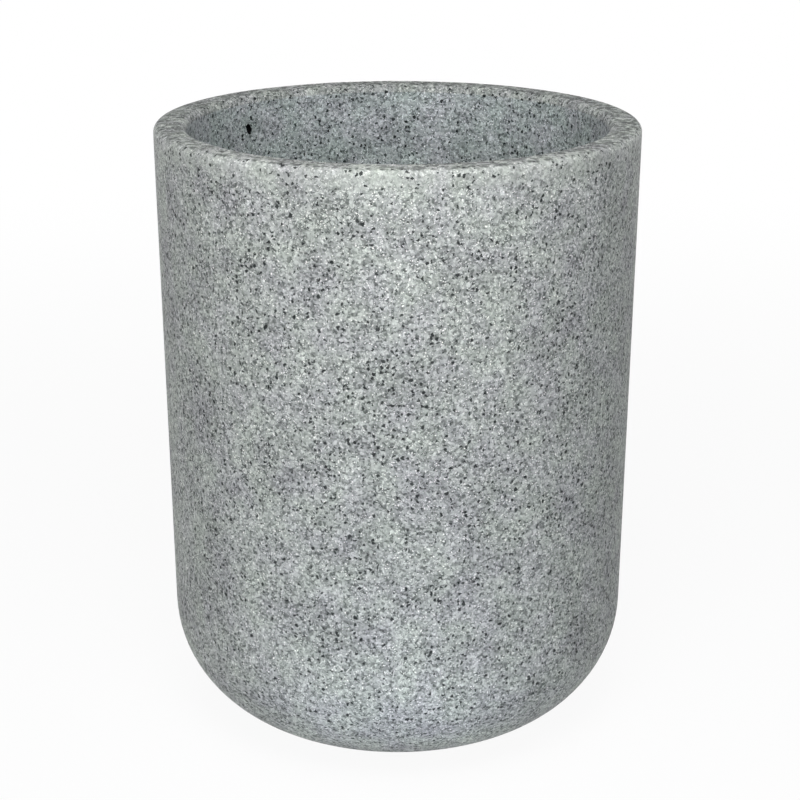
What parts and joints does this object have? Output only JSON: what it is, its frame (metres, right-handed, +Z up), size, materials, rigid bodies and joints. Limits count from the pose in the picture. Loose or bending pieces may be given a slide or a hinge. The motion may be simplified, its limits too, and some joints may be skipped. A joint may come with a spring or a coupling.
{
  "type": "toothbrush holder",
  "caption": "Round open tumbler of speckled stone-effect resin with a thick, slightly tapered wall, a soft-edged rim and a large rounded base corner, on a recessed non-slip pad.",
  "frame": {"origin": "centre of the foam pad's underside, where the tumbler stands on the worktop", "axes": "+Z up along the tumbler's axis towards the open rim; the tumbler is round, so +X and +Y are free, and -Y faces the picture's camera"},
  "size_m": [0.08, 0.08, 0.1048],
  "materials": {
    "stone_resin": "satin matt, dense grey, white and near-black grains through a pale grey casting resin filled with stone powder",
    "pad_foam": "matt closed-cell foam"
  },
  "bodies": {
    "root": {"cup_body": "stone_resin", "nonslip_pad": "pad_foam"}
  },
  "joints": []
}
